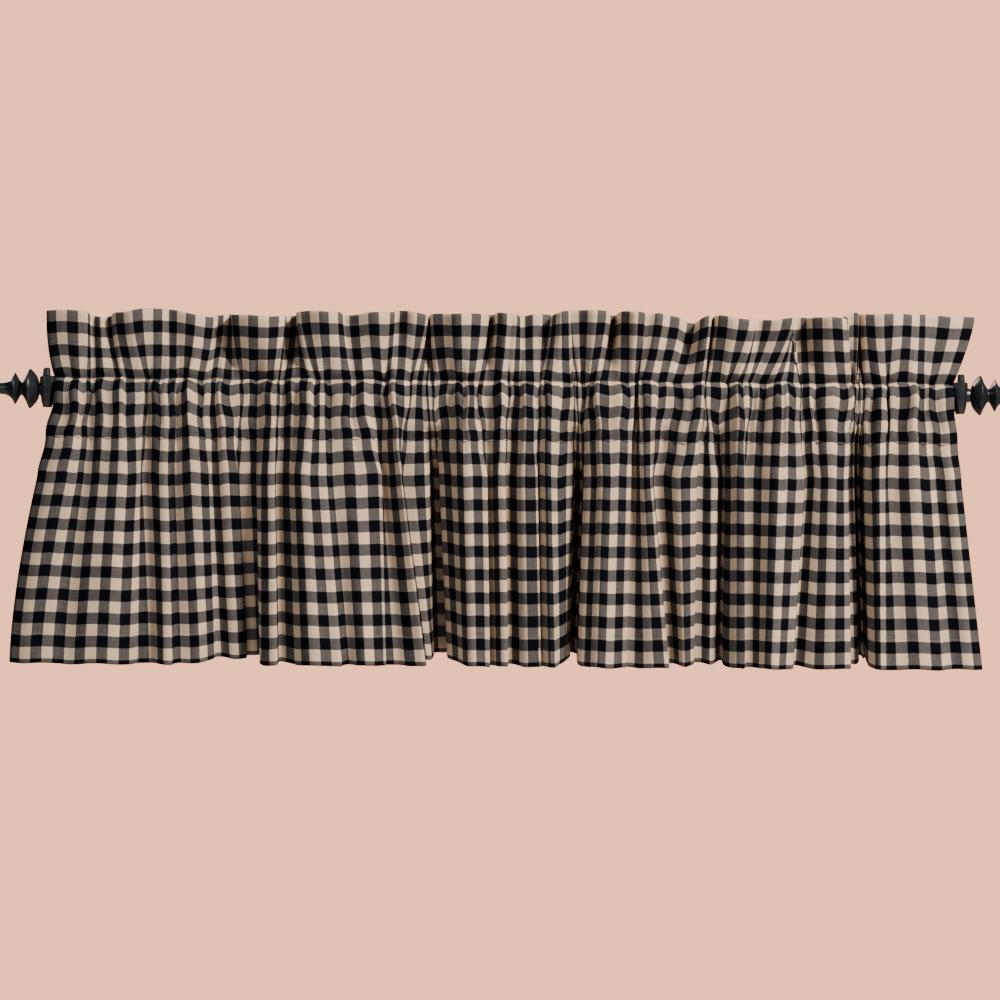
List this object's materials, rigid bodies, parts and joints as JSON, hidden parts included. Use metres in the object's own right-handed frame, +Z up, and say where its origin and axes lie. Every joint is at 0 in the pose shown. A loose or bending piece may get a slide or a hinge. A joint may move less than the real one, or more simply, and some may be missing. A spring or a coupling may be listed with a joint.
{
  "type": "window valance on a curtain rod",
  "caption": "Gathered check cloth valance with a ruffled heading on a black rod with turned finials and wall brackets.",
  "frame": {"origin": "on the wall plane, midway between the brackets, at the height of the rod's axis", "axes": "+X along the rod to the valance's left as seen from the wall, +Y into the wall, +Z up"},
  "size_m": [1.0743, 0.0899, 0.3565],
  "materials": {
    "check_cloth": "matt woven cotton",
    "black_paint": "satin black"
  },
  "bodies": {
    "root": {"valance_cloth": "check_cloth", "rod": "black_paint", "left_finial": "black_paint", "right_finial": "black_paint", "left_bracket": "black_paint", "right_bracket": "black_paint", "left_set_screw": "black_paint", "right_set_screw": "black_paint"}
  },
  "joints": []
}
